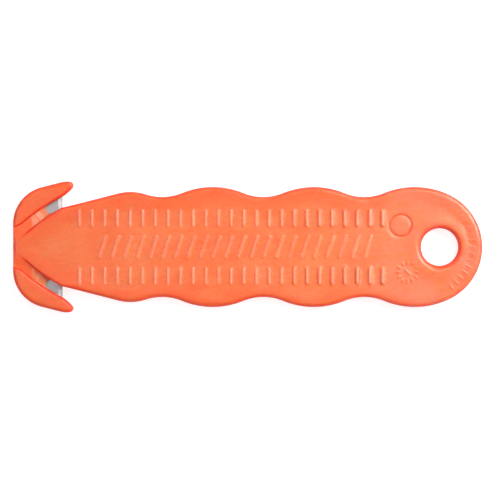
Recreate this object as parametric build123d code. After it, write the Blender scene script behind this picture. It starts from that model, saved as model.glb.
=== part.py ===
"""Hooked safety cutter: two moulded half shells welded face to face around one transverse blade.

Millimetres: the cutter lies on its back, +Z is up through the front face, +X runs from
the flat nose to the hanging hole, and the origin is the middle of the footprint.
"""

import os
from math import cos, hypot, radians, sin, sqrt, tan

from build123d import *

# ---- driving dimensions, mm ----
LENGTH = 118.0
SHELL_T = 2.4  # one half shell, parting plane to face
RELIEF_H = 0.3  # grip ribs above the face

SCALLOP_PITCH = 25.4  # valley to valley along the grip
SCALLOP_HALF = 15.1  # half width across a hump
VALLEY_HALF = 12.6  # half width across a valley
HUMP_R = 20.3
VALLEY_X = [-21.5 + SCALLOP_PITCH * i for i in range(3)]
SHOULDER_HALF = 13.86  # the small first hump, behind the head
SHOULDER_R = 12.8
TAPER_DEG = 14.4  # neck and hook backs share this angle

NOSE_R = 9.5
NOSE_FLAT_HALF = 5.83
TIP_CENTRE = (-44.86, 15.48)  # rounded end of a hook
TIP_R = 0.95
TIP_BACK_R = 6.0
TIP_INNER_R = 11.8

MOUTH_X = -46.7  # where the neck turns into the cutting slot
SLOT_R = 50.0  # both slot walls are arcs about one centre
SLOT_GAP = 2.4
SLOT_END = (-57.2, 2.17)  # where the slot's inner wall fades out at the nose
WEB_FROM_MOUTH = 3.2  # open slot, from the mouth to the web
WEB_BULGE = 0.6  # the slot's end is rounded by this much
WEB_T = 0.6  # web over the blade
RAMP_START = 4.4  # along the channel from the mouth; the ramp lifts cut material off the web
RAMP_END = 13.05  # where it meets the body's face
HOOK_DROP = 0.45  # how far it then lies below the hook's face
FLARE_Y = 5.0  # the slot's outer wall turns out to leave the nose square at this height
FLARE_R = 4.0

EDGE_R = 0.8
HANG_X = 48.3
HANG_R = 4.7
HANG_EDGE_R = 1.6

BLADE_EDGE_X = -46.6
BLADE_W = 7.6
BLADE_HALF_L = 13.9
BLADE_T = 0.38
BLADE_CORNER = 2.5
BEVEL_W = 1.1
HONE_W = 0.45  # steeper facet at the very edge
HONE_T = 0.16  # thickness where it starts
EDGE_T = 0.02
BLADE_HOLE_AT = (-50.6, 3.4)
BLADE_PEG_R = 1.1
BLADE_HOLE_R = 1.15

RIB_PITCH = 3.175
RIB_COUNT = 25
RIB_FIRST_X = -42.3
RIB_L = 4.7
RIB_W = 1.3
RIB_Y = 7.25
RELIEF_EDGE_R = 0.15

BAR_COUNT = 22
BAR_MID_X = -3.1
BAR_L = 6.4
BAR_W = 1.3
BAR_SLANT_DEG = 18.0
BAR_H = 0.2

RING_AT = (38.4, 5.4)
RING_R = 2.75
RING_LINE = 0.4
RING_DEPTH = 0.2
DIAL_AT = (40.1, -6.3)
DIAL_R = 2.9
DIAL_TICKS = 12
TICK_L = 1.1
TICK_W = 0.4
TICK_H = 0.15
POINTER_DEG = -45.0

PEG_AT = [(-30.0, 0.0), (-6.0, 0.0), (18.0, 0.0), (37.0, 0.0)]
PEG_R = 1.5
PEG_H = 1.2
PEG_GAP = 0.05

# ---- places that follow from them ----
NOSE_X = -LENGTH / 2
PARTING_Z = RELIEF_H + SHELL_T
FLOOR_H = BLADE_T / 2 + WEB_T
TAPER = radians(TAPER_DEG)


# ---- plane geometry ----
def circles_meet(c1, r1, c2, r2, side):
    """The point r1 from c1 and r2 from c2, on the left of c1 to c2 for side 1 and on the right for -1."""
    dx, dy = c2[0] - c1[0], c2[1] - c1[1]
    d = hypot(dx, dy)
    along = (d * d + r1 * r1 - r2 * r2) / (2 * d)
    off = side * sqrt(r1 * r1 - along * along)
    return (c1[0] + (along * dx - off * dy) / d, c1[1] + (along * dy + off * dx) / d)


def toward(a, b, distance):
    """The point at that distance from a, on the line to b. A negative distance is away from b."""
    d = hypot(b[0] - a[0], b[1] - a[1])
    return (a[0] + (b[0] - a[0]) * distance / d, a[1] + (b[1] - a[1]) * distance / d)


def arc(centre, start, end):
    """The shorter arc about centre from start to end."""
    c, a, b = (Vector(*p, 0) for p in (centre, start, end))
    middle = c + ((a - c) + (b - c)).normalized() * (a - c).length
    return ThreePointArc(a, middle, b)


def slot_centre():
    """The centre of both slot walls, on the handle's side of them."""
    return circles_meet(SLOT_END, SLOT_R, mouth_point(), SLOT_R, -1)


def shoulder():
    """Centre of the shoulder arc, and the point where the straight neck leaves it."""
    valley_r, valley_y = valley_circle()
    rise = valley_y - (SHOULDER_HALF - SHOULDER_R)
    x = VALLEY_X[0] - sqrt((SHOULDER_R + valley_r) ** 2 - rise**2)
    centre = (x, SHOULDER_HALF - SHOULDER_R)
    return centre, (x - SHOULDER_R * sin(TAPER), centre[1] + SHOULDER_R * cos(TAPER))


def valley_circle():
    """Radius of a valley and the height of its centre, tangent to the humps on each side."""
    rise = SCALLOP_HALF - VALLEY_HALF
    both = ((SCALLOP_PITCH / 2) ** 2 + rise**2) / (2 * rise)
    return both - HUMP_R, VALLEY_HALF + both - HUMP_R


def mouth_point():
    _, neck = shoulder()
    return (MOUTH_X, neck[1] + (MOUTH_X - neck[0]) * tan(TAPER))


def slot_point(radius, along):
    """A point on a slot wall, at a distance along it from the mouth towards the nose."""
    c, m = slot_centre(), mouth_point()
    turn = along / SLOT_R
    dx, dy = (m[0] - c[0]) * radius / SLOT_R, (m[1] - c[1]) * radius / SLOT_R
    return (c[0] + dx * cos(turn) - dy * sin(turn), c[1] + dx * sin(turn) + dy * cos(turn))


def flare_circle():
    """Centre of the arc that opens the hook away from the slot, and the point where it leaves the slot."""
    outer_r = SLOT_R + SLOT_GAP
    centre = circles_meet(slot_centre(), outer_r + TIP_INNER_R, TIP_CENTRE, TIP_INNER_R - TIP_R, 1)
    return centre, toward(slot_centre(), centre, outer_r)


def grip_edges():
    """Upper outline from the tail to the slot's mouth: end arc, three scallops, shoulder and neck."""
    valley_r, valley_y = valley_circle()
    hump_y = SCALLOP_HALF - HUMP_R
    last_hump = (VALLEY_X[-1] + SCALLOP_PITCH / 2, hump_y)
    reach = LENGTH / 2 - last_hump[0]
    fall = HUMP_R - reach
    end_r = HUMP_R - (hump_y**2 + fall**2) / (2 * fall)
    end_centre = (LENGTH / 2 - end_r, 0.0)
    centres = [(end_centre, end_r)]
    for x in reversed(VALLEY_X):
        centres.append(((x + SCALLOP_PITCH / 2, hump_y), HUMP_R))
        centres.append(((x, valley_y), valley_r))
    shoulder_centre, neck = shoulder()
    centres.append((shoulder_centre, SHOULDER_R))
    start = (LENGTH / 2, 0.0)
    edges = []
    for (centre, radius), (following, _) in zip(centres, centres[1:], strict=False):
        distance = -radius if centre is end_centre else radius
        end = toward(centre, following, distance)
        edges.append(arc(centre, start, end))
        start = end
    edges.append(arc(shoulder_centre, start, neck))
    edges.append(Line(neck, mouth_point()))
    return edges


def hook_edges():
    """Upper outline from the slot's mouth, drawn closed, round the hook to the middle of the nose."""
    flare_c, flare_start = flare_circle()
    tip_start = toward(flare_c, TIP_CENTRE, TIP_INNER_R)
    nose_c = (NOSE_X + NOSE_R, NOSE_FLAT_HALF)
    nose_top = (nose_c[0] - NOSE_R * sin(TAPER), nose_c[1] + NOSE_R * cos(TAPER))
    # The back arc touches the straight hook back and holds the tip's circle inside it.
    inside = (TIP_CENTRE[0] - nose_c[0], TIP_CENTRE[1] - nose_c[1])
    depth = NOSE_R - (inside[1] * cos(TAPER) - inside[0] * sin(TAPER))
    along = inside[0] * cos(TAPER) + inside[1] * sin(TAPER)
    run = along - sqrt((TIP_BACK_R - TIP_R) ** 2 - (TIP_BACK_R - depth) ** 2)
    back_end = (nose_top[0] + run * cos(TAPER), nose_top[1] + run * sin(TAPER))
    back_c = (back_end[0] + TIP_BACK_R * sin(TAPER), back_end[1] - TIP_BACK_R * cos(TAPER))
    tip_end = toward(back_c, TIP_CENTRE, TIP_BACK_R)
    nose_start = (NOSE_X, NOSE_FLAT_HALF)
    return [
        Line(mouth_point(), flare_start),
        arc(flare_c, flare_start, tip_start),
        arc(TIP_CENTRE, tip_start, tip_end),
        arc(back_c, tip_end, back_end),
        Line(back_end, nose_top),
        arc(nose_c, nose_top, nose_start),
        Line(nose_start, (NOSE_X, 0.0)),
    ]


def outline_face():
    upper = Wire(grip_edges() + hook_edges())
    lower = upper.mirror(Plane.XZ)
    return Face(Wire(upper.edges() + lower.edges()))


# ---- features of a half shell, each built on a parting plane at z = 0 with the face upwards ----
def prism(face, height):
    """The face extruded straight up, or down for a negative height, whichever way it faces."""
    return extrude(face, height, dir=(0, 0, 1))


def both_sides(shape):
    """The shape and its mirror image below the long axis."""
    return [shape, shape.mirror(Plane.XZ)]


def web_edge():
    """The rounded end of the open slot, where the web starts."""
    middle = slot_point(SLOT_R + SLOT_GAP / 2, WEB_FROM_MOUTH + WEB_BULGE)
    return ThreePointArc(
        slot_point(SLOT_R, WEB_FROM_MOUTH), middle, slot_point(SLOT_R + SLOT_GAP, WEB_FROM_MOUTH)
    )


def open_slot():
    """The through slot that brings what is cut to the blade, from outside the mouth to the web."""
    c = slot_centre()
    outside = -SLOT_GAP
    inner_r, outer_r = SLOT_R, SLOT_R + SLOT_GAP
    sides = [
        arc(c, slot_point(inner_r, outside), slot_point(inner_r, WEB_FROM_MOUTH)),
        web_edge(),
        arc(c, slot_point(outer_r, WEB_FROM_MOUTH), slot_point(outer_r, outside)),
        Line(slot_point(outer_r, outside), slot_point(inner_r, outside)),
    ]
    return prism(Face(Wire(sides)), SHELL_T)


def exit_channel():
    """The recess that leads what is cut over the web and out at the nose, up through the face."""
    c = slot_centre()
    outer_r = SLOT_R + SLOT_GAP
    inner_end = slot_point(SLOT_R, RAMP_END + 1)
    flare_y = FLARE_Y + FLARE_R
    flare_c = (c[0] - sqrt((outer_r + FLARE_R) ** 2 - (flare_y - c[1]) ** 2), flare_y)
    flare_start = toward(c, flare_c, outer_r)
    flare_end = (flare_c[0], FLARE_Y)
    past_nose = NOSE_X - SLOT_GAP
    sides = [
        arc(c, slot_point(SLOT_R, WEB_FROM_MOUTH), inner_end),
        Line(inner_end, (past_nose, inner_end[1])),
        Line((past_nose, inner_end[1]), (past_nose, FLARE_Y)),
        Line((past_nose, FLARE_Y), flare_end),
        arc(flare_c, flare_end, flare_start),
        arc(c, flare_start, slot_point(outer_r, WEB_FROM_MOUTH)),
        web_edge(),
    ]
    recess = Pos(0, 0, FLOOR_H) * prism(Face(Wire(sides)), SHELL_T)
    top = Vector(*slot_point(SLOT_R, RAMP_END), SHELL_T)
    downhill = Vector(*slot_point(SLOT_R, RAMP_START), FLOOR_H) - top
    to_hook = Vector(*slot_point(outer_r, RAMP_END), SHELL_T - HOOK_DROP) - top
    ramp = Plane(origin=top, x_dir=downhill, z_dir=downhill.cross(to_hook))
    return split(recess, bisect_by=ramp, keep=Keep.TOP)


def raised_bar(length, width, height, turn_deg):
    """A low round-ended bar on the face, turned from the long axis, with its top edge rounded."""
    bar = prism(Rot(0, 0, turn_deg) * SlotOverall(length, width), height)
    bar = fillet(bar.edges().group_by(Axis.Z)[-1], min(RELIEF_EDGE_R, height / 2))
    return Pos(0, 0, SHELL_T) * bar


def grip_ribs():
    """Two rows of ribs across the grip."""
    rib = raised_bar(RIB_L, RIB_W, RELIEF_H, 90)
    return [
        Pos(RIB_FIRST_X + RIB_PITCH * i, side * RIB_Y, 0) * rib
        for i in range(RIB_COUNT)
        for side in (-1, 1)
    ]


def slanted_bars():
    """A plain row of low slanted bars along the middle of the grip."""
    bar = raised_bar(BAR_L, BAR_W, BAR_H, 90 - BAR_SLANT_DEG)
    first_x = BAR_MID_X - RIB_PITCH * (BAR_COUNT - 1) / 2
    return [Pos(first_x + RIB_PITCH * i, 0, 0) * bar for i in range(BAR_COUNT)]


def ring_groove():
    ring = Circle(RING_R + RING_LINE / 2) - Circle(RING_R - RING_LINE / 2)
    return Pos(*RING_AT, SHELL_T - RING_DEPTH) * prism(ring, 2 * RING_DEPTH)


def dial_marks():
    """Plain mould dial: a ring of ticks and one pointer."""
    tick = raised_bar(TICK_L, TICK_W, TICK_H, 0)
    middle = Pos(*DIAL_AT, 0)
    spin = 360 / DIAL_TICKS
    ticks = [middle * Rot(0, 0, spin * i) * Pos(DIAL_R - TICK_L / 2, 0, 0) * tick for i in range(DIAL_TICKS)]
    return ticks + [middle * raised_bar(2 * TICK_L, TICK_W, TICK_H, POINTER_DEG)]


def blade_plan(growth=0.0):
    """The blade from above, with its two back corners cropped, grown all round by growth."""
    front, back = BLADE_EDGE_X + growth, BLADE_EDGE_X - BLADE_W - growth
    half, crop = BLADE_HALF_L + growth, BLADE_CORNER
    corners = [
        (front, -half),
        (front, half),
        (back + crop, half),
        (back, half - crop),
        (back, crop - half),
        (back + crop, -half),
    ]
    return Face(Polyline(*corners, close=True))


def plain_shell():
    """Half shell with rounded edges, hanging hole, channels and grip relief, with no parting features."""
    plate = prism(outline_face(), SHELL_T)
    plate = fillet(plate.edges().group_by(Axis.Z)[-1], EDGE_R)
    plate -= Pos(HANG_X, 0, 0) * Cylinder(HANG_R, 4 * SHELL_T)
    rim = plate.edges().filter_by(GeomType.CIRCLE).filter_by(lambda e: abs(e.radius - HANG_R) < 1e-4)
    plate = fillet(rim.group_by(Axis.Z)[-1], HANG_EDGE_R)
    plate -= both_sides(open_slot())
    plate -= both_sides(exit_channel())
    plate -= prism(blade_plan(growth=PEG_GAP), BLADE_T / 2)
    return plate + grip_ribs() + slanted_bars()


def pegs():
    joining = [Pos(x, y, -PEG_H / 2) * Cylinder(PEG_R, PEG_H) for x, y in PEG_AT]
    x, y = BLADE_HOLE_AT
    top = BLADE_T / 2
    peg = Pos(x, y, (top - PEG_H) / 2) * Cylinder(BLADE_PEG_R, top + PEG_H)
    return joining + both_sides(peg)


def sockets():
    joining = [Pos(x, y, 0) * Cylinder(PEG_R + PEG_GAP, 2 * (PEG_H + PEG_GAP)) for x, y in PEG_AT]
    x, y = BLADE_HOLE_AT
    socket = Pos(x, y, 0) * Cylinder(BLADE_PEG_R + PEG_GAP, 2 * (PEG_H + PEG_GAP))
    return joining + both_sides(socket)


# ---- the three pieces, in place ----
def front_shell():
    shell = plain_shell()
    shell -= ring_groove()
    shell += dial_marks()
    shell += pegs()
    return Pos(0, 0, PARTING_Z) * shell


def back_shell():
    shell = plain_shell() - sockets()
    return Pos(0, 0, PARTING_Z) * shell.mirror(Plane.XY)


def blade():
    """Sheet with a two-facet edge ground on both sides, and a locating hole for each blade peg."""
    half_t = BLADE_T / 2
    sheet = Pos(0, 0, -half_t) * prism(blade_plan(), BLADE_T)
    section = Polyline(
        (BLADE_EDGE_X - BEVEL_W, half_t),
        (BLADE_EDGE_X - HONE_W, HONE_T / 2),
        (BLADE_EDGE_X, EDGE_T / 2),
        (BLADE_EDGE_X + 1, EDGE_T / 2),
        (BLADE_EDGE_X + 1, BLADE_T),
        (BLADE_EDGE_X - BEVEL_W, BLADE_T),
        close=True,
    )
    waste = extrude(Plane.XZ * Face(section), BLADE_HALF_L + 1, both=True)
    sheet -= [waste, waste.mirror(Plane.XY)]
    x, y = BLADE_HOLE_AT
    sheet -= both_sides(Pos(x, y, 0) * Cylinder(BLADE_HOLE_R, 2 * BLADE_T))
    return Pos(0, 0, PARTING_Z) * sheet


if __name__ == "__main__":
    os.makedirs("parts", exist_ok=True)
    for build in (front_shell, back_shell, blade):
        export_step(build(), f"parts/{build.__name__}.step")
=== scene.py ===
"""Looks of the hooked safety cutter: two moulded shells with relief, and the ground blade between them.

Plans are drawn in millimetres in the part's own frame, nose at -X and hanging hole at +X. Heights within a
shell are counted from the parting plane towards its face. Objects are built in metres.
"""

from math import atan2, ceil, cos, hypot, pi, radians, sin, sqrt, tan

import bpy
import numpy as np
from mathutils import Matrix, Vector
from mathutils.geometry import delaunay_2d_cdt


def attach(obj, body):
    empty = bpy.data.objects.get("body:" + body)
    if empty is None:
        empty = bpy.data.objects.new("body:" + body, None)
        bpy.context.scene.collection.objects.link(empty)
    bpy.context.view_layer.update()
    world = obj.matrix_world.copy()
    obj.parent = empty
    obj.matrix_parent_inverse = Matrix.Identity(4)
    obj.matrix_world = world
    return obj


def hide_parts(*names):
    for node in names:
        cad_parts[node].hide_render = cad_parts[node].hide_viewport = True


MM = 0.001

# ---- driving dimensions, mm ----
LENGTH = 118.0
SHELL_T = 2.4
RELIEF_H = 0.3

SCALLOP_PITCH = 25.4
SCALLOP_HALF = 15.1
VALLEY_HALF = 12.6
HUMP_R = 20.3
VALLEY_X = [-21.5 + SCALLOP_PITCH * i for i in range(3)]
SHOULDER_HALF = 13.86
SHOULDER_R = 12.8
TAPER = radians(14.4)

NOSE_X = -LENGTH / 2
NOSE_R = 9.5
NOSE_FLAT_HALF = 5.83
TIP_CENTRE = (-44.86, 15.48)
TIP_R = 0.95
TIP_BACK_R = 6.0
TIP_INNER_R = 11.8

MOUTH_X = -46.7
SLOT_R = 50.0
SLOT_GAP = 2.4
SLOT_END = (-57.2, 2.17)
WEB_FROM_MOUTH = 3.2
WEB_BULGE = 0.6
WEB_OVERLAP = 0.2  # the channel's heights hold from this far before the web
RAMP_START = 4.4  # along the channel from the mouth
RAMP_END = 13.05
PAST_RAMP = 0.5  # how far the channel's inner wall runs on beyond the ramp
HOOK_DROP = 0.45  # how far the end of the ramp lies below the hook's face
RIDGES = (5.6, 6.2, 7.9)  # low ridges across the channel, from the mouth
RIDGE_W = 0.5
RIDGE_H = 0.12
FLARE_Y = 5.0
FLARE_R = 4.0
FLARE_SHORT = 0.15  # the flared wall stops this far from the nose

EDGE_R = 1.2
TIP_EDGE_R = 0.85
SLOT_EDGE_R = 0.5
HOOK_EDGE_R = 0.95  # along the hook's side of the slot and channel
MOUTH_BLEND = 3.0  # the neck's rounding shrinks to the slot's over this much before the mouth
HOOK_BLENDS = (0, 2.0, 6.0, 9.0)  # from the slot round the hook, where its rounding changes
HANG_X = 48.3
HANG_R = 4.7
HANG_EDGE_R = 1.6
SEAM_IN = 0.07
SEAM_UP = 0.1
SEAM_CLEAR = 1.5  # the seam line stops this far from the blade's pocket

BLADE_EDGE_X = -46.6
BLADE_W = 7.6
BLADE_HALF_L = 13.9
BLADE_T = 0.38
BEVEL_W = 1.1
HONE_W = 0.45
FACET_BLUR = 0.03  # softness of the lines between the blade's facets
POCKET_GAP = 0.05
POCKET_H = BLADE_T / 2 + 0.01
WEB_T = 0.6  # plastic over the blade
FLOOR_H = BLADE_T / 2 + WEB_T

RIB_PITCH = 3.175
RIB_COUNT = 25
RIB_FIRST_X = -42.3
RIB_L = 4.7
RIB_Y = 7.25
RIB_FLANK = 0.48
RIB_W_NOSE = 1.1
RIB_W_TAIL = 1.35
RIB_SHARE_NOSE = 0.4  # height of the ribs nearest the nose, as a share of the tallest
RIB_LOW_X = -6.0  # the ribs are that low from the nose to here
RIB_FULL_X = 33.9  # and have their full height from here to the tail

BAR_COUNT = 22
BAR_MID_X = -3.1
BAR_L = 6.4
BAR_W = 1.2
BAR_FLANK = 0.3
BAR_SLANT = radians(18.0)
BAR_H = 0.2
BAR_WEAR_AND_HIGHLIGHT = 0.7  # how pale the bars' tops look, worn and with painted highlight, as a share of the ribs'

RING_AT = (38.4, 5.4)
RING_R = 2.75
RING_W = 0.8
RING_DEPTH = 0.3
DIAL_AT = (40.1, -6.3)
DIAL_R = 2.9
DIAL_TICKS = 12
TICK_L = 1.1
TICK_W = 0.6
TICK_FLANK = 0.25
TICK_H = 0.22
TAIL_TICKS = 15
TAIL_TICK_IN = 2.7  # from the tail's edge to the middle of the ticks
TAIL_TICK_SPAN = radians(112)
TAIL_TICK_L = 1.6
TAIL_TICK_W = 0.55
TAIL_TICK_H = 0.1

DISH = 0.34  # the faces sink by this much away from the edges
DISH_FROM = 0.5
DISH_TO = 4.8
RIM_SHADE = 0.75  # how far in the rim's deeper colour reaches: painted shade on the rounded edges
RIM_SHADE_BELOW = 0.5  # strength of that painted shade at the seam, as a share of the rim's
HOLE_SHADE = 1.2  # how far the same painted shade reaches in round the hanging hole
RING_SHADE = 0.6  # the same painted shade in the recessed ring, as a share of the rim's
MARGIN = 7.0  # the colour is a little deeper this close to the outline: partly a deeper tone, partly painted shade of the dished band inside the edges
PALE_AND_SHEEN_FROM_X = 20.0  # the plastic turns paler from here: partly a chalky, paler tone, partly painted sheen
PALE_AND_SHEEN_FULL_X = 42.0  # to here, and stays so to the tail

# ---- how finely the surfaces are divided, mm ----
STEP = 0.35
WALL = 0.04  # plan width of a steep wall
FILL = 0.9
FILL_CLEAR = 0.2  # least distance between a filling point and its neighbours
RAMP_FILL = 0.3  # closer filling along the channels
RAMP_FILL_SPAN = (4.2, 16.0)  # from the mouth
CELL = 0.3
CAP_STEP = 0.16
SIDE_STEP = 0.4
TIP_STEP = 0.15
HOLE_SIDES = 96
RING_SIDES = 56
RING_SHARES = (1.0, 0.7, 0.4, 0.1)
KEPT_SHARE = 0.98  # a run inside a rim stays where every rim is at least this share of its offset away
KEPT_SLACK = 0.005
LEAST_R = 0.1  # smaller roundings get no such runs
MERGE = 1e-5  # points closer than this are one
TINY = 1e-12  # keeps a divisor from being nothing
CREASE = radians(40)  # sharper edges than this aren't smoothed
BLOCK = 4000  # points worked on at a time
RIM_TURNS = [radians(15 * k) for k in range(1, 7)]
FLANK_SHARES = (0.0, 0.25, 0.5, 0.75, 1.0)


# ---- plane geometry ----
def toward(a, b, distance):
    """The point at that distance from a, on the line to b. A negative distance is away from b."""
    d = hypot(b[0] - a[0], b[1] - a[1])
    return (a[0] + (b[0] - a[0]) * distance / d, a[1] + (b[1] - a[1]) * distance / d)


def circles_meet(c1, r1, c2, r2, side):
    """The point r1 from c1 and r2 from c2, on the left of c1 to c2 for side 1 and on the right for -1."""
    dx, dy = c2[0] - c1[0], c2[1] - c1[1]
    d = hypot(dx, dy)
    along = (d * d + r1 * r1 - r2 * r2) / (2 * d)
    off = side * sqrt(r1 * r1 - along * along)
    return (c1[0] + (along * dx - off * dy) / d, c1[1] + (along * dy + off * dx) / d)


def arc(centre, start, end, step=STEP):
    """Points along the shorter arc about centre."""
    radius = hypot(start[0] - centre[0], start[1] - centre[1])
    first = atan2(start[1] - centre[1], start[0] - centre[0])
    last = atan2(end[1] - centre[1], end[0] - centre[0])
    turn = (last - first + pi) % (2 * pi) - pi
    n = max(2, ceil(abs(turn) * radius / step))
    t = first + turn * np.arange(n + 1) / n
    return np.column_stack([centre[0] + radius * np.cos(t), centre[1] + radius * np.sin(t)])


def line(start, end, step=STEP):
    n = max(1, ceil(hypot(end[0] - start[0], end[1] - start[1]) / step))
    t = (np.arange(n + 1) / n)[:, None]
    return np.array(start) * (1 - t) + np.array(end) * t


def joined(*runs):
    """Runs that follow each other as one, without the doubled points."""
    return np.vstack([runs[0]] + [r[1:] for r in runs[1:]])


def mirrored(points):
    """The same run below the long axis, turned round so that the material stays on its left."""
    return points[::-1] * (1, -1)


def lengths(points):
    """Distance along a run at each of its points."""
    steps = np.hypot(*np.diff(points, axis=0).T)
    return np.concatenate([[0], np.cumsum(steps)])


def left_normals(points, closed=False):
    """Unit normals to the left of a run, averaged at each point."""
    ahead = np.roll(points, -1, axis=0) - points
    if not closed:
        ahead[-1] = ahead[-2]
    behind = np.roll(ahead, 1, axis=0)
    if not closed:
        behind[0] = ahead[0]
    unit = [v / np.linalg.norm(v, axis=1)[:, None] for v in (ahead, behind)]
    mean = unit[0] + unit[1]
    mean /= np.linalg.norm(mean, axis=1)[:, None]
    return np.column_stack([-mean[:, 1], mean[:, 0]])


def folded(points):
    """The same points, with those below the long axis mirrored above it."""
    return np.column_stack([points[:, 0], np.abs(points[:, 1])])


def smooth(t):
    """An even rise from 0 to 1, flat at both ends."""
    t = np.clip(t, 0, 1)
    return t * t * (3 - 2 * t)


# ---- the outline, upper half ----
def valley_circle():
    rise = SCALLOP_HALF - VALLEY_HALF
    both = ((SCALLOP_PITCH / 2) ** 2 + rise**2) / (2 * rise)
    return both - HUMP_R, VALLEY_HALF + both - HUMP_R


def shoulder():
    valley_r, valley_y = valley_circle()
    rise = valley_y - (SHOULDER_HALF - SHOULDER_R)
    x = VALLEY_X[0] - sqrt((SHOULDER_R + valley_r) ** 2 - rise**2)
    centre = (x, SHOULDER_HALF - SHOULDER_R)
    return centre, (x - SHOULDER_R * sin(TAPER), centre[1] + SHOULDER_R * cos(TAPER))


NECK = shoulder()[1]
MOUTH = (MOUTH_X, NECK[1] + (MOUTH_X - NECK[0]) * tan(TAPER))
SLOT_C = circles_meet(SLOT_END, SLOT_R, MOUTH, SLOT_R, -1)
OUTER_R = SLOT_R + SLOT_GAP
HOOK_FLARE_C = circles_meet(SLOT_C, OUTER_R + TIP_INNER_R, TIP_CENTRE, TIP_INNER_R - TIP_R, 1)
HOOK_FLARE = toward(SLOT_C, HOOK_FLARE_C, OUTER_R)
EXIT_FLARE_C = (
    SLOT_C[0] - sqrt((OUTER_R + FLARE_R) ** 2 - (FLARE_Y + FLARE_R - SLOT_C[1]) ** 2),
    FLARE_Y + FLARE_R,
)
EXIT_FLARE = toward(SLOT_C, EXIT_FLARE_C, OUTER_R)


def slot_point(radius, along):
    """A point at a radius from the slot walls' centre and a distance from the mouth towards the nose."""
    turn = along / SLOT_R
    dx, dy = ((m - c) * radius / SLOT_R for m, c in zip(MOUTH, SLOT_C, strict=True))
    return (SLOT_C[0] + dx * cos(turn) - dy * sin(turn), SLOT_C[1] + dx * sin(turn) + dy * cos(turn))


def tail_circle():
    """(x of the centre, radius) of the arc that closes the tail, tangent to the last hump."""
    fall = HUMP_R - (LENGTH / 2 - VALLEY_X[-1] - SCALLOP_PITCH / 2)
    radius = HUMP_R - ((SCALLOP_HALF - HUMP_R) ** 2 + fall**2) / (2 * fall)
    return LENGTH / 2 - radius, radius


def grip_run():
    """Tail to mouth: end arc, three scallops, shoulder and neck."""
    valley_r, valley_y = valley_circle()
    hump_y = SCALLOP_HALF - HUMP_R
    end_x, end_r = tail_circle()
    circles = [((end_x, 0.0), end_r, -1)]
    for x in reversed(VALLEY_X):
        circles.append(((x + SCALLOP_PITCH / 2, hump_y), HUMP_R, 1))
        circles.append(((x, valley_y), valley_r, 1))
    circles.append((shoulder()[0], SHOULDER_R, 1))
    start, runs = (LENGTH / 2, 0.0), []
    for (centre, radius, sense), following in zip(circles, circles[1:], strict=False):
        end = toward(centre, following[0], sense * radius)
        runs.append(arc(centre, start, end))
        start = end
    runs.append(arc(circles[-1][0], start, NECK))
    runs.append(line(NECK, MOUTH))
    return joined(*runs)


def hook_run():
    """The open slot's outer end, round the hook to the point where the exit channel leaves the nose."""
    tip_start = toward(HOOK_FLARE_C, TIP_CENTRE, TIP_INNER_R)
    nose_c = (NOSE_X + NOSE_R, NOSE_FLAT_HALF)
    nose_top = (nose_c[0] - NOSE_R * sin(TAPER), nose_c[1] + NOSE_R * cos(TAPER))
    dx, dy = TIP_CENTRE[0] - nose_c[0], TIP_CENTRE[1] - nose_c[1]
    depth = NOSE_R - (dy * cos(TAPER) - dx * sin(TAPER))
    along = dx * cos(TAPER) + dy * sin(TAPER)
    run = along - sqrt((TIP_BACK_R - TIP_R) ** 2 - (TIP_BACK_R - depth) ** 2)
    back_end = (nose_top[0] + run * cos(TAPER), nose_top[1] + run * sin(TAPER))
    back_c = (back_end[0] + TIP_BACK_R * sin(TAPER), back_end[1] - TIP_BACK_R * cos(TAPER))
    tip_end = toward(back_c, TIP_CENTRE, TIP_BACK_R)
    return joined(
        arc(HOOK_FLARE_C, HOOK_FLARE, tip_start),
        arc(TIP_CENTRE, tip_start, tip_end, step=TIP_STEP),
        arc(back_c, tip_end, back_end),
        line(back_end, nose_top),
        arc(nose_c, nose_top, (NOSE_X, NOSE_FLAT_HALF)),
        line((NOSE_X, NOSE_FLAT_HALF), (NOSE_X, FLARE_Y)),
    )


def web_run():
    """The slot's rounded end, with a point one wall's width in from each corner."""
    corner = WALL / SLOT_GAP
    shares = np.concatenate([[0], np.linspace(corner, 1 - corner, 9), [1]])
    bulge = WEB_BULGE * (1 - (2 * shares - 1) ** 2)
    places = zip(SLOT_R + SLOT_GAP * shares, WEB_FROM_MOUTH + bulge, strict=True)
    return np.array([slot_point(r, a) for r, a in places])


def with_point_at_x(points, x):
    """The run with a point added where it first crosses x."""
    side = np.sign(points[:, 0] - x)
    i = int(np.argmax(side[:-1] * side[1:] < 0))
    a, b = points[i], points[i + 1]
    share = (x - a[0]) / (b[0] - a[0])
    return np.insert(points, i + 1, a + share * (b - a), axis=0)


# ---- runs that the surfaces are built on ----
GRIP = grip_run()
HOOK = hook_run()
WEB = web_run()
INNER_WALL = arc(SLOT_C, MOUTH, slot_point(SLOT_R, WEB_FROM_MOUTH))
OUTER_WALL = arc(SLOT_C, slot_point(OUTER_R, WEB_FROM_MOUTH), HOOK_FLARE)
CHANNEL_END = slot_point(SLOT_R, RAMP_END + PAST_RAMP)
FLARE_STOP = circles_meet(EXIT_FLARE_C, FLARE_R, (NOSE_X, FLARE_Y), FLARE_SHORT, 1)
NOSE_RUN = line((NOSE_X, FLARE_Y), (NOSE_X, 0.0))


def exit_walls(inset):
    """The exit channel's two walls, moved into the channel by inset, from the web towards the nose."""
    start = WEB_FROM_MOUTH + WEB_BULGE * (1 - (1 - 2 * inset / SLOT_GAP) ** 2)
    inner = arc(
        SLOT_C,
        slot_point(SLOT_R + inset, start),
        toward(SLOT_C, CHANNEL_END, SLOT_R + inset),
    )
    turn = toward(SLOT_C, EXIT_FLARE_C, OUTER_R - inset)
    outer = joined(
        arc(SLOT_C, slot_point(OUTER_R - inset, start), turn),
        arc(EXIT_FLARE_C, turn, toward(EXIT_FLARE_C, FLARE_STOP, FLARE_R + inset)),
    )
    return inner, outer


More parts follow.
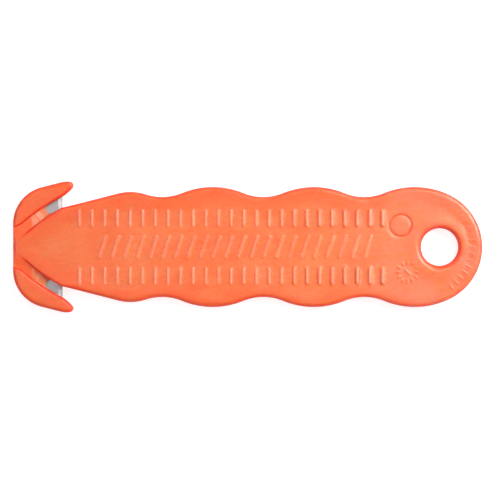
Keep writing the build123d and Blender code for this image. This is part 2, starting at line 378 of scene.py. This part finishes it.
def outline():
    """The whole outline as one closed run, the way the material lies on its left."""
    pocket_front = BLADE_EDGE_X + POCKET_GAP
    grip, hook = GRIP, HOOK
    for x in (pocket_front, pocket_front + WALL / 2):
        grip = with_point_at_x(grip, x)
        hook = with_point_at_x(hook, x)
    upper = joined(grip, INNER_WALL, WEB, OUTER_WALL, hook, NOSE_RUN)
    return joined(upper, mirrored(upper))[:-1]


def rims():
    """(run, rounding radius at each point) for every edge of the full-height faces, above the long axis."""
    inner, outer = exit_walls(0.0)
    to_mouth = lengths(GRIP)[-1] - lengths(GRIP)
    grip_r = np.interp(to_mouth, (0, MOUTH_BLEND), (SLOT_EDGE_R, EDGE_R))
    hook_r = np.interp(lengths(HOOK), HOOK_BLENDS, (HOOK_EDGE_R, TIP_EDGE_R, TIP_EDGE_R, EDGE_R))
    slot_r = np.full(len(INNER_WALL) - 1, SLOT_EDGE_R)
    hook_wall_r = np.full(len(OUTER_WALL) - 1, HOOK_EDGE_R)
    inner_r = np.clip(SHELL_T - channel_height(inner), 0, SLOT_EDGE_R)
    outer_r = np.clip(SHELL_T - channel_height(outer), 0, HOOK_EDGE_R)
    body = joined(GRIP, INNER_WALL, inner)
    hook = joined(outer[::-1], OUTER_WALL, HOOK)
    return [
        (body, np.concatenate([grip_r, slot_r, inner_r[1:]])),
        (hook, np.concatenate([outer_r[::-1], hook_wall_r, hook_r[1:]])),
        (NOSE_RUN, np.full(len(NOSE_RUN), EDGE_R)),
    ]


def all_rims():
    upper = rims()
    return upper + [(mirrored(points), radii[::-1]) for points, radii in upper]


# ---- heights ----
def nearest(points, runs):
    """(distance to the nearest of the runs, the value carried by that run there) for each point."""
    a = np.vstack([r[:-1] for r, _ in runs])
    b = np.vstack([r[1:] for r, _ in runs])
    va = np.concatenate([v[:-1] for _, v in runs])
    vb = np.concatenate([v[1:] for _, v in runs])
    ab = b - a
    square = np.maximum((ab**2).sum(1), TINY)
    distance, value = np.empty(len(points)), np.empty(len(points))
    for i in range(0, len(points), BLOCK // 2):
        block = slice(i, i + BLOCK // 2)
        p = points[block]
        t = np.clip(((p[:, None] - a) * ab).sum(2) / square, 0, 1)
        away = np.linalg.norm(a + t[..., None] * ab - p[:, None], axis=2)
        best = away.argmin(1)
        row = np.arange(len(p))
        distance[block] = away[row, best]
        share = t[row, best]
        value[block] = va[best] * (1 - share) + vb[best] * share
    return distance, value


def rounding(distance, radius):
    """How far a rounded edge lies below its face at a distance in from the outline."""
    inward = np.clip(radius - distance, 0, radius)
    return radius - np.sqrt(radius**2 - inward**2)


def channel_place(p):
    """(distance along the channel from the mouth, distance from the slot walls' centre) above the axis."""
    from_c = p - SLOT_C
    start = atan2(MOUTH[1] - SLOT_C[1], MOUTH[0] - SLOT_C[0])
    return SLOT_R * (np.arctan2(from_c[:, 1], from_c[:, 0]) - start), np.hypot(*from_c.T)


def in_exit_channel(points):
    """Whether each point lies on the floor or ramp of an exit channel, clear of the steep walls."""
    p = folded(points)
    along, radius = channel_place(p)
    from_flare = np.hypot(*(p - EXIT_FLARE_C).T)
    inside_outer = np.where(
        p[:, 0] < EXIT_FLARE[0],
        (from_flare > FLARE_R + WALL / 2) & (p[:, 1] < EXIT_FLARE[1]),
        radius < OUTER_R - WALL / 2,
    )
    return (radius > SLOT_R + WALL / 2) & inside_outer & (along >= WEB_FROM_MOUTH - WEB_OVERLAP)


def channel_height(points):
    """Floor behind the slot, a long ramp up to the body's face, a little lower on the hook's side."""
    along, radius = channel_place(folded(points))
    across = np.clip((radius - SLOT_R) / SLOT_GAP, 0, 1)
    share = (along - RAMP_START) / (RAMP_END - RAMP_START)
    ramp = FLOOR_H + (SHELL_T - FLOOR_H) * share - HOOK_DROP * across * np.clip(share, 0, 1)
    top = SHELL_T - HOOK_DROP * across
    height = soft_least(-soft_least(-ramp, -FLOOR_H), top)
    for ridge in RIDGES:
        height += RIDGE_H * smooth(1 - np.abs(along - ridge) / (RIDGE_W / 2))
    return np.minimum(height, top)


def soft_least(a, b, blend=0.08):
    """The smaller of two heights, rounded where they cross."""
    return (a + b) / 2 - np.sqrt(((a - b) / 2) ** 2 + blend**2)


def capsule_relief(points, bars):
    """Height added by bars with soft flanks, each (middle x, y, angle, length, width, flank, height)."""
    added = np.zeros(len(points))
    order = np.argsort(points[:, 0])
    xs = points[order, 0]
    for x, y, angle, length, width, flank, height in bars:
        reach = length / 2 + width
        near = order[np.searchsorted(xs, x - reach) : np.searchsorted(xs, x + reach)]
        d = points[near] - (x, y)
        axis = np.array([cos(angle), sin(angle)])
        half = (length - width) / 2
        along = np.clip(d @ axis, -half, half)
        away = np.linalg.norm(d - along[:, None] * axis, axis=1)
        added[near] = np.maximum(added[near], height * smooth((width / 2 - away) / flank))
    return added


def ribs():
    """Two rows of grip ribs. Each height is a share of the way up from the face to the tallest tops."""
    made = []
    for i in range(RIB_COUNT):
        x = RIB_FIRST_X + RIB_PITCH * i
        grown = min(1, max(0, (x - RIB_LOW_X) / (RIB_FULL_X - RIB_LOW_X)))
        width = RIB_W_NOSE + (RIB_W_TAIL - RIB_W_NOSE) * grown
        share = RIB_SHARE_NOSE + (1 - RIB_SHARE_NOSE) * grown
        made += [(x, side * RIB_Y, pi / 2, RIB_L, width, RIB_FLANK, share) for side in (-1, 1)]
    return made


def slanted_bars():
    first_x = BAR_MID_X - RIB_PITCH * (BAR_COUNT - 1) / 2
    return [
        (first_x + RIB_PITCH * i, 0.0, pi / 2 - BAR_SLANT, BAR_L, BAR_W, BAR_FLANK, BAR_H)
        for i in range(BAR_COUNT)
    ]


def dial_bars():
    """Mould dial: a ring of ticks and one pointer."""
    out = TICK_L / 2
    bars = [
        (
            DIAL_AT[0] + (DIAL_R - out) * cos(2 * pi * i / DIAL_TICKS),
            DIAL_AT[1] + (DIAL_R - out) * sin(2 * pi * i / DIAL_TICKS),
            2 * pi * i / DIAL_TICKS,
            TICK_L,
            TICK_W,
            TICK_FLANK,
            TICK_H,
        )
        for i in range(DIAL_TICKS)
    ]
    return bars + [(*DIAL_AT, -pi / 4, 2 * TICK_L, TICK_W, TICK_FLANK, TICK_H)]


def tail_bars():
    """An arc of fine radial ticks between the hanging hole and the tail's edge."""
    centre, radius = tail_circle()
    made = []
    for i in range(TAIL_TICKS):
        turn = TAIL_TICK_SPAN * (i / (TAIL_TICKS - 1) - 0.5)
        place = (centre + (radius - TAIL_TICK_IN) * cos(turn), (radius - TAIL_TICK_IN) * sin(turn))
        made.append((*place, turn, TAIL_TICK_L, TAIL_TICK_W, TICK_FLANK, TAIL_TICK_H))
    return made


def exit_floor(points):
    """Height of the exit channels' floor and ramp, rounded off where they leave the nose."""
    front = joined(HOOK, NOSE_RUN)
    ones = np.ones(len(front))
    from_nose, _ = nearest(points, [(front, ones), (mirrored(front), ones)])
    return np.minimum(channel_height(points), SHELL_T - rounding(from_nose, EDGE_R))


def ring_share(points):
    """How deep each point lies in the recessed ring, from 0 to 1."""
    return smooth(1 - np.abs(np.hypot(*(points - RING_AT).T) - RING_R) / (RING_W / 2))


def crest_wear_and_highlight(points):
    """How pale the tops of the ribs and slanted bars are at each point, from 0 to 1: partly wear, partly
    painted highlight.
    """
    wear_and_highlight = [(*bar[:-1], 1.0) for bar in ribs()] + [(*bar[:-1], BAR_WEAR_AND_HIGHLIGHT) for bar in slanted_bars()]
    return capsule_relief(points, wear_and_highlight) ** 2


def face_heights(points, bars, marked):
    """(height above the parting plane, marks by name) at each point. The marks guide the plastic's look;
    several paint shade and highlight into its colour.
    """
    distance, radius = nearest(points, all_rims())
    from_hole = np.hypot(points[:, 0] - HANG_X, points[:, 1]) - HANG_R
    ring = ring_share(points) if marked else np.zeros(len(points))
    sunk = DISH * smooth((np.minimum(distance, from_hole) - DISH_FROM) / (DISH_TO - DISH_FROM))
    face = SHELL_T - sunk
    raised = capsule_relief(points, ribs()) * (SHELL_T + RELIEF_H - face) + capsule_relief(points, bars)
    edges = np.maximum(rounding(distance, radius), rounding(from_hole, HANG_EDGE_R))
    tall = face + raised - RING_DEPTH * ring - edges
    channel = in_exit_channel(points)
    height = np.where(channel, np.minimum(exit_floor(points), tall.max()), tall)
    # painted shade along the rounded edges, fading inwards, none in the exit channels
    outer = np.where(channel, 0.0, (1 - smooth(distance / RIM_SHADE)) * smooth(radius / SLOT_EDGE_R))
    marks = {
        "channel": channel,
        "over_blade": channel & (points[:, 0] > BLADE_EDGE_X - BLADE_W),
        # paler, smoother tops: the paleness is partly wear, partly painted highlight
        "crest": crest_wear_and_highlight(points),
        # painted shade: the rims' rounding, the hanging hole's rounding and the recessed ring
        "rim": np.maximum.reduce([outer, 1 - smooth(from_hole / HOLE_SHADE), RING_SHADE * ring]),
        # deeper colour near the outline: partly a deeper tone, partly painted shade
        "margin": 1 - smooth(distance / MARGIN),
    }
    return height, marks


# ---- meshes ----
def capsule_loop(bar, share):
    """A closed run round a bar, at a share of the way up its flank."""
    x, y, angle, length, width, flank, _ = bar
    half = (length - width) / 2
    r = width / 2 - flank * share
    n = max(4, ceil(pi * r / CAP_STEP))
    t = np.linspace(-pi / 2, pi / 2, n + 1)
    cap = np.column_stack([half + r * np.cos(t), r * np.sin(t)])
    side = line((half, r), (-half, r), step=SIDE_STEP)[1:-1]
    loop = np.vstack([cap, side, -cap, -side])
    turn = np.array([[cos(angle), sin(angle)], [-sin(angle), cos(angle)]])
    return loop @ turn + (x, y)


def circle(centre, radius, n):
    t = 2 * pi * np.arange(n) / n
    return np.column_stack([centre[0] + radius * np.cos(t), centre[1] + radius * np.sin(t)])


def rim_rings():
    """Runs inside every rim that follow its rounding, broken where two edges come close."""
    runs = []
    everything = all_rims()
    for points, radii in everything:
        normals = left_normals(points)
        for turn in RIM_TURNS:
            inward = radii * (1 - cos(turn))
            ring = points + normals * inward[:, None]
            distance, _ = nearest(ring, everything)
            kept = (distance > inward * KEPT_SHARE - KEPT_SLACK) & (radii > LEAST_R)
            edges = np.flatnonzero(np.diff(np.concatenate([[0], kept.astype(int), [0]])))
            runs += [ring[a:b] for a, b in edges.reshape(-1, 2) if b - a > 1]
    return runs


def fill_points(placed):
    """A staggered grid over the outline's box, closer in the channels, clear of what is already placed."""
    top = TIP_CENTRE[1] + 2
    xs = np.arange(-LENGTH / 2, LENGTH / 2, FILL)
    ys = np.arange(-top, top, FILL * sqrt(3) / 2)
    grid = np.array([(x + FILL / 2 * (j % 2), y) for j, y in enumerate(ys) for x in xs])
    inward = np.arange(RAMP_FILL, SLOT_GAP, RAMP_FILL)
    along = np.arange(*RAMP_FILL_SPAN, RAMP_FILL)
    ramp = np.array([slot_point(SLOT_R + r, a) for r in inward for a in along])
    cells = {}
    for x, y in placed:
        cells.setdefault((int(x // CELL), int(y // CELL)), []).append((x, y))
    free = []
    for x, y in np.vstack([grid, ramp, ramp * (1, -1)]):
        i, j = int(x // CELL), int(y // CELL)
        close = [q for a in (-1, 0, 1) for b in (-1, 0, 1) for q in cells.get((i + a, j + b), ())]
        if all((x - q[0]) ** 2 + (y - q[1]) ** 2 > FILL_CLEAR**2 for q in close):
            free.append((x, y))
            cells.setdefault((i, j), []).append((x, y))
    return np.array(free)


def within_edges(points, a, b):
    """Whether each point is inside the set of edges a to b, holes included."""
    found = np.zeros(len(points), bool)
    rise = np.where(b[:, 1] == a[:, 1], TINY, b[:, 1] - a[:, 1])
    for i in range(0, len(points), BLOCK):
        p = points[i : i + BLOCK, None]
        spans = (a[:, 1] > p[..., 1]) != (b[:, 1] > p[..., 1])
        x = a[:, 0] + (p[..., 1] - a[:, 1]) * (b[:, 0] - a[:, 0]) / rise
        found[i : i + BLOCK] = (spans & (p[..., 0] < x)).sum(1) % 2 == 1
    return found


def within(points, polygon):
    return within_edges(points, polygon, np.roll(polygon, -1, axis=0))


def split_plan(points, edges):
    """(points, triangles, where each input point went) of a plan that keeps to every edge given."""
    result = delaunay_2d_cdt([Vector(p) for p in points], edges, [], 0, MERGE)
    went = {old: new for new, olds in enumerate(result[3]) for old in olds}
    return np.array([tuple(p) for p in result[0]]), np.array(result[2]), went


def triangulated(closed_runs, open_runs, loose, rim, hole):
    """(points, triangles) between the rim and the hole, keeping to every run given."""
    points, edges = [], []
    count = 0
    for runs, closed in ((closed_runs, True), (open_runs, False)):
        for run in runs:
            n = len(run)
            edges += [(count + i, count + (i + 1) % n) for i in range(n if closed else n - 1)]
            points.append(run)
            count += n
    out, triangles, _ = split_plan(np.vstack(points + [loose]), edges)
    middles = out[triangles].mean(axis=1)
    triangles = triangles[within(middles, rim) & ~within(middles, hole)]
    used, triangles = np.unique(triangles, return_inverse=True)
    return out[used], triangles.reshape(-1, 3)


def boundary(triangles):
    """Edges with a triangle on one side only, each with the material on its left."""
    edges = {(t[i], t[(i + 1) % 3]) for t in triangles.tolist() for i in range(3)}
    return [(a, b) for a, b in edges if (b, a) not in edges]


def pocket_loop(growth):
    front, back = BLADE_EDGE_X + POCKET_GAP + growth, BLADE_EDGE_X - BLADE_W - POCKET_GAP - growth
    half = BLADE_HALF_L + POCKET_GAP + growth
    return np.array([(front, -half), (front, half), (back, half), (back, -half)])


def channel_runs():
    """Runs across every ridge of the exit channels and along both walls, above and below the axis."""
    runs = []
    for ridge in RIDGES:
        for off in np.linspace(-RIDGE_W / 2, RIDGE_W / 2, 5):
            ends = (slot_point(SLOT_R + r, ridge + off) for r in (2 * WALL, SLOT_GAP - 2 * WALL))
            runs.append(line(*ends))
    for inset in (0.0, WALL):
        runs += exit_walls(inset)
    return [side for run in runs for side in (run, mirrored(run))]


def shell_plan(bars, marked):
    """(points, triangles) of one shell as seen from its face."""
    centre = (HANG_X, 0.0)
    rim, hole = outline(), circle(centre, HANG_R, HOLE_SIDES)[::-1]
    loops = [rim, hole]
    loops += [circle(centre, HANG_R + HANG_EDGE_R * (1 - cos(t)), HOLE_SIDES) for t in RIM_TURNS]
    loops += [capsule_loop(bar, share) for bar in ribs() + bars for share in FLANK_SHARES]
    if marked:
        offsets = [side * RING_W / 2 * share for side in (-1, 1) for share in RING_SHARES]
        loops += [circle(RING_AT, RING_R + off, RING_SIDES) for off in offsets]
    runs = rim_rings() + channel_runs()
    return triangulated(loops, runs, fill_points(np.vstack(loops + runs)), rim, hole)


def shell_mesh(marked):
    """(vertices in mm, faces, values at vertices) of a half shell, parting plane at z = 0, face upwards."""
    bars = slanted_bars() + (dial_bars() + tail_bars() if marked else [])
    plan, triangles = shell_plan(bars, marked)
    height, marks = face_heights(plan, bars, marked)

    edges = boundary(triangles)
    ring = sorted({i for e in edges for i in e})
    place = {v: k for k, v in enumerate(ring)}
    ring_edges = [(place[a], place[b]) for a, b in edges]
    around = plan[ring]
    under, under_triangles, went = under_plan(seam_points(around, ring_edges), ring_edges)
    step_z = np.where(near_pocket(around, WALL / 4), POCKET_H, SEAM_UP)
    under_z = np.where(near_pocket(under, WALL / 4), POCKET_H, 0.0)

    layers = ((plan, height), (around, step_z), (under, under_z))
    vertices = np.vstack([np.column_stack(layer) for layer in layers])
    step, base = len(plan), len(plan) + len(ring)
    faces = triangles.tolist()
    faces += [tuple(base + i for i in reversed(t)) for t in under_triangles.tolist()]
    for (a, b), (i, j) in zip(edges, ring_edges, strict=True):
        faces.append((a, step + i, step + j, b))
        faces.append((step + i, base + went[i], base + went[j], step + j))
    # the side walls take half the rims' painted shade and the margin's whole deeper tone
    side_share = {"rim": RIM_SHADE_BELOW, "margin": 1.0}
    for key, value in marks.items():
        side = value[ring] * side_share.get(key, 0.0)
        marks[key] = np.concatenate([value, side, np.zeros(len(under))])
    return vertices, faces, marks


def near_pocket(points, margin):
    low, high = pocket_loop(margin).min(axis=0), pocket_loop(margin).max(axis=0)
    return ((points > low) & (points < high)).all(axis=1)


def seam_points(around, edges):
    """The outline drawn in a little at the parting plane, except close to the blade's pocket."""
    normals = np.zeros_like(around)
    for a, b in edges:
        d = around[b] - around[a]
        left = np.array([-d[1], d[0]]) / (np.linalg.norm(d) + TINY)
        normals[a] += left
        normals[b] += left
    normals /= np.linalg.norm(normals, axis=1)[:, None] + TINY
    amount = np.where(near_pocket(around, SEAM_CLEAR), 0.0, SEAM_IN)
    return around + normals * amount[:, None]


def under_plan(seat, edges):
    """Plan of the parting face, with the blade's pocket drawn on it as two close loops."""
    points = np.vstack([seat, pocket_loop(0.0), pocket_loop(WALL / 2)])
    lines = list(edges)
    for first in (len(seat), len(seat) + 4):
        lines += [(first + i, first + (i + 1) % 4) for i in range(4)]
    out, triangles, went = split_plan(points, lines)
    starts, ends = (seat[[edge[k] for edge in edges]] for k in (0, 1))
    keep = within_edges(out[triangles].mean(axis=1), starts, ends)
    return out, triangles[keep], went


def shell_object(name, node, marked, up, finish):
    """The shell in the part's frame, riding on the one body in place of its CAD node. up is 1 or -1."""
    vertices, faces, values = shell_mesh(marked)
    vertices[:, 2] = RELIEF_H + SHELL_T + up * vertices[:, 2]
    if up < 0:
        faces = [tuple(reversed(f)) for f in faces]
    mesh = bpy.data.meshes.new(name)
    mesh.from_pydata((vertices * MM).tolist(), [], faces)
    for key, at_vertices in values.items():
        mesh.attributes.new(key, "FLOAT", "POINT").data.foreach_set("value", at_vertices.astype(float))
    mesh.shade_smooth()
    mesh.set_sharp_from_angle(angle=CREASE)
    mesh.materials.append(finish)
    shell = bpy.data.objects.new(name, mesh)
    bpy.context.collection.objects.link(shell)
    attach(shell, "root")
    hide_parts(node)
    return shell


# ---- materials ----
def new_material(name):
    """(material, its node tree, its shader)."""
    made = bpy.data.materials.new(name)
    made.use_nodes = True
    return made, made.node_tree, made.node_tree.nodes["Principled BSDF"]


def add(tree, kind, inputs=None, **settings):
    """A node with those settings. Each input is a value or another node's output."""
    made = tree.nodes.new(kind)
    for key, value in settings.items():
        setattr(made, key, value)
    for key, value in (inputs or {}).items():
        if isinstance(value, bpy.types.NodeSocket):
            tree.links.new(value, made.inputs[key])
        else:
            made.inputs[key].default_value = value
    return made


def in_mm(tree, stretch=(1, 1, 1)):
    """The object's coordinates in millimetres, stretched along the axes."""
    place = add(tree, "ShaderNodeTexCoord").outputs["Object"]
    scale = tuple(s / MM for s in stretch)
    return add(tree, "ShaderNodeMapping", {"Vector": place, "Scale": scale}).outputs["Vector"]


def noise(tree, place, per_mm, detail=2.0, roughness=0.5, swirl=0.0):
    inputs = {
        "Vector": place,
        "Scale": per_mm,
        "Detail": detail,
        "Roughness": roughness,
        "Distortion": swirl,
    }
    return add(tree, "ShaderNodeTexNoise", inputs).outputs["Fac"]


def ranged(tree, value, low, high, to_low, to_high):
    """value's stretch from low to high, laid over the stretch from to_low to to_high and held there."""
    inputs = {"Value": value, "From Min": low, "From Max": high, "To Min": to_low, "To Max": to_high}
    return add(tree, "ShaderNodeMapRange", inputs).outputs["Result"]


def mixed(tree, share, a, b):
    """Colour a with b blended in by share."""
    return add(tree, "ShaderNodeMix", {0: share, 6: a, 7: b}, data_type="RGBA").outputs[2]


def attribute(tree, name):
    return add(tree, "ShaderNodeAttribute", attribute_name=name).outputs["Fac"]


def math(tree, operation, a, b):
    return add(tree, "ShaderNodeMath", {0: a, 1: b}, operation=operation).outputs[0]


def moulded_plastic():
    """Translucent orange polypropylene: cloudy colour, fine mould grain, polished edges and long scuffs,
    with painted shade at the rims, round the hole, in the ring, in the channels and near the outline, and
    partly painted highlight and sheen on the rib tops and towards the tail.
    """
    made, tree, shader = new_material("moulded_plastic")
    place = in_mm(tree)
    x = add(tree, "ShaderNodeSeparateXYZ", {"Vector": place}).outputs["X"]
    clouds = ranged(tree, noise(tree, place, 0.09, 3.0), 0.3, 0.7, 0.0, 1.0)
    smears = ranged(tree, noise(tree, in_mm(tree, (0.35, 1.0, 1.0)), 0.32, 4.0, 0.6), 0.35, 0.7, 0.0, 1.0)
    swirls = noise(tree, in_mm(tree, (0.5, 1.0, 1.0)), 0.55, 6.0, 0.6, 1.6)
    flow = ranged(tree, swirls, 0.35, 0.65, 0.0, 1.0)
    patches = ranged(tree, noise(tree, in_mm(tree, (0.6, 1.0, 1.0)), 0.3, 5.0, 0.6), 0.35, 0.65, 0.2, 1.0)
    # paler patches towards the tail: partly a chalky, paler tone, partly painted sheen
    pale_tone_and_sheen = math(tree, "MULTIPLY", patches, ranged(tree, x, PALE_AND_SHEEN_FROM_X, PALE_AND_SHEEN_FULL_X, 0.0, 1.0))
    grain = noise(tree, place, 2.6, 4.0, 0.6)
    # paler rib and bar tops, flecked by the grain: partly wear, partly painted highlight
    wear_and_highlight = math(tree, "MULTIPLY", attribute(tree, "crest"), ranged(tree, grain, 0.25, 0.6, 0.35, 1.0))
    scuffs = noise(tree, in_mm(tree, (0.12, 1.0, 1.0)), 1.6, 5.0, 0.65)
    scuffed = ranged(tree, scuffs, 0.62, 0.72, 0.0, 1.0)
    rim = attribute(tree, "rim")

    tones = (  # where, how strong, colour
        (smears, 0.5, (0.75, 0.240, 0.098, 1)),
        (flow, 0.42, (0.72, 0.105, 0.029, 1)),
        # deeper near the outline: partly a deeper tone, partly painted shade
        (attribute(tree, "margin"), 0.6, (0.72, 0.10, 0.028, 1)),
        # paler towards the tail: partly a chalky, paler tone, partly painted sheen
        (pale_tone_and_sheen, 0.7, (0.58, 0.180, 0.105, 1)),
        # paler rib and bar tops: partly wear, partly painted highlight
        (wear_and_highlight, 0.57, (0.81, 0.39, 0.28, 1)),
        (scuffed, 0.25, (0.77, 0.31, 0.18, 1)),
        # painted shade: deep red on the rounded edges, round the hole and in the ring
        (rim, 0.82, (0.77, 0.008, 0.002, 1)),
        # painted shade: a deeper red over the exit channels' floors and ramps, which lie in shade
        (attribute(tree, "channel"), 0.5, (0.97, 0.12, 0.03, 1)),
        (attribute(tree, "over_blade"), 0.48, (0.97, 0.31, 0.17, 1)),
    )
    colour = mixed(tree, clouds, (0.73, 0.137, 0.042, 1), (0.75, 0.179, 0.060, 1))
    for share, strength, tone in tones:
        colour = mixed(tree, math(tree, "MULTIPLY", share, strength), colour, tone)
    tree.links.new(colour, shader.inputs["Base Color"])

    rough = ranged(tree, grain, 0.3, 0.7, 0.24, 0.38)
    rough = math(tree, "SUBTRACT", rough, math(tree, "MULTIPLY", attribute(tree, "crest"), 0.08))
    rough = math(tree, "ADD", rough, math(tree, "MULTIPLY", scuffed, 0.12))
    rough = math(tree, "ADD", rough, math(tree, "MULTIPLY", rim, 0.2))
    tree.links.new(rough, shader.inputs["Roughness"])

    height = math(tree, "ADD", math(tree, "MULTIPLY", grain, 0.012), math(tree, "MULTIPLY", scuffs, 0.012))
    height = math(tree, "ADD", height, math(tree, "MULTIPLY", noise(tree, place, 0.5, 2.0), 0.03))
    height = math(tree, "ADD", height, math(tree, "MULTIPLY", noise(tree, place, 0.13, 1.0), 0.22))
    bump = add(tree, "ShaderNodeBump", {"Height": height, "Strength": 1.0, "Distance": MM})
    tree.links.new(bump.outputs["Normal"], shader.inputs["Normal"])

    shader.inputs["Subsurface Weight"].default_value = 0.9
    shader.inputs["Subsurface Radius"].default_value = (1.0, 0.08, 0.03)
    shader.inputs["Subsurface Scale"].default_value = 4.0 * MM
    shader.inputs["IOR"].default_value = 1.47
    shader.inputs["Specular IOR Level"].default_value = 0.4
    return made


def ground_steel():
    """Blade steel: ground flank with streaks along it, and a brighter bevel and fine edge, whose colours
    lean pink as painted reflection of the orange shells.
    """
    made, tree, shader = new_material("ground_steel")
    place = in_mm(tree)
    x = add(tree, "ShaderNodeSeparateXYZ", {"Vector": place}).outputs["X"]
    bevel, hone = (
        ranged(tree, x, BLADE_EDGE_X - width - FACET_BLUR, BLADE_EDGE_X - width + FACET_BLUR, 0.0, 1.0)
        for width in (BEVEL_W, HONE_W)
    )
    streaks = noise(tree, in_mm(tree, (8.0, 0.35, 1.0)), 1.2, 4.0, 0.6)
    across = noise(tree, in_mm(tree, (0.5, 9.0, 1.0)), 1.2, 4.0, 0.6)
    blotches = ranged(tree, noise(tree, place, 0.5, 3.0), 0.3, 0.7, 0.0, 1.0)

    flank = mixed(tree, streaks, (0.40, 0.38, 0.39, 1), (0.56, 0.54, 0.55, 1))
    flank = mixed(tree, math(tree, "MULTIPLY", blotches, 0.25), flank, (0.36, 0.34, 0.33, 1))
    # the pink lean of the bevel and edge colours is painted reflection of the orange shells
    ground = mixed(tree, across, (0.68, 0.64, 0.64, 1), (0.80, 0.76, 0.76, 1))
    honed = mixed(tree, across, (0.58, 0.54, 0.55, 1), (0.68, 0.64, 0.65, 1))
    colour = mixed(tree, hone, mixed(tree, bevel, flank, ground), honed)
    tree.links.new(colour, shader.inputs["Base Color"])

    rough = ranged(tree, streaks, 0.3, 0.7, 0.28, 0.42)
    rough = math(tree, "SUBTRACT", rough, math(tree, "MULTIPLY", bevel, 0.06))
    tree.links.new(rough, shader.inputs["Roughness"])
    height = mixed(tree, bevel, streaks, across)
    bump = add(tree, "ShaderNodeBump", {"Height": height, "Strength": 0.4, "Distance": 0.01 * MM})
    tree.links.new(bump.outputs["Normal"], shader.inputs["Normal"])
    shader.inputs["Metallic"].default_value = 1.0
    return made


def floor_material():
    """A pale light table, with some light of its own."""
    made, tree, shader = new_material("pale_floor")
    shade = noise(tree, in_mm(tree), 0.02, 2.0)
    colour = mixed(tree, shade, (0.40, 0.40, 0.40, 1), (0.44, 0.44, 0.44, 1))
    tree.links.new(colour, shader.inputs["Base Color"])
    shader.inputs["Roughness"].default_value = 0.9
    shader.inputs["Specular IOR Level"].default_value = 0.1
    shader.inputs["Emission Color"].default_value = (1, 1, 1, 1)
    shader.inputs["Emission Strength"].default_value = 0.8
    return made


# ---- studio ----
FRAME_W = 124.0  # width of the view at the front face
VIEW_X = -0.17
LENS = 200.0
SENSOR = 36.0
FLOOR_SIZE = 3.0  # metres
FLOOR_GAP = 0.02  # under the part


def studio():
    """Pale floor, soft surroundings, key light from the upper right, two small fills, camera overhead."""
    bpy.ops.mesh.primitive_plane_add(size=FLOOR_SIZE, location=(0, 0, -FLOOR_GAP * MM))
    floor = bpy.context.object
    floor.name = "floor"
    floor.data.materials.append(floor_material())

    scene = bpy.context.scene
    scene.world = surroundings()
    add_light("key", (0.29, 0.25, 0.48), size=0.38, watts=3.5)
    add_light("left_fill", (-0.24, 0.02, 0.36), size=0.22, watts=0.42)
    add_light("tail_light", (0.17, 0.07, 0.16), size=0.08, watts=0.48)

    camera = bpy.data.objects.new("camera", bpy.data.cameras.new("camera"))
    camera.data.lens = LENS
    camera.data.sensor_width = SENSOR
    face = RELIEF_H + 2 * SHELL_T
    camera.location = (VIEW_X * MM, 0.0, (face + FRAME_W * LENS / SENSOR) * MM)
    camera.data.clip_start, camera.data.clip_end = 0.01, 10.0
    bpy.context.collection.objects.link(camera)
    scene.camera = camera
    scene.view_settings.view_transform = "Standard"


def surroundings():
    """Even white light, brighter overhead than towards the horizon."""
    world = bpy.data.worlds.new("surroundings")
    world.use_nodes = True
    tree = world.node_tree
    up = add(tree, "ShaderNodeTexCoord").outputs["Generated"]
    z = add(tree, "ShaderNodeSeparateXYZ", {"Vector": up}).outputs["Z"]
    level = ranged(tree, z, 0.2, 0.95, 0.10, 0.34)
    tree.links.new(level, tree.nodes["Background"].inputs["Strength"])
    tree.nodes["Background"].inputs["Color"].default_value = (1, 1, 1, 1)
    return world


def add_light(name, place, size, watts):
    """A square area light that faces the object."""
    light = bpy.data.lights.new(name, "AREA")
    light.size = size
    light.energy = watts
    lamp = bpy.data.objects.new(name, light)
    lamp.location = place
    lamp.rotation_euler = (-Vector(place)).to_track_quat("-Z", "Y").to_euler()
    bpy.context.collection.objects.link(lamp)


# ---- the scene ----
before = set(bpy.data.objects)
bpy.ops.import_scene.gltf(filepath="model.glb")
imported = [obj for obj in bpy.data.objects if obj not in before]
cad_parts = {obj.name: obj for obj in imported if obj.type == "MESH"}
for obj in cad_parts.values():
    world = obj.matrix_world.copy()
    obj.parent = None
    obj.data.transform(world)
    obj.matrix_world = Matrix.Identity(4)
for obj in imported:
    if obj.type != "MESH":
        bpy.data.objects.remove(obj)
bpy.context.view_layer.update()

plastic = moulded_plastic()
shell_object("front_half", "front_shell", True, 1, plastic)
shell_object("back_half", "back_shell", False, -1, plastic)
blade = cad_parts["blade"]
blade.data.materials.clear()
blade.data.materials.append(ground_steel())
studio()
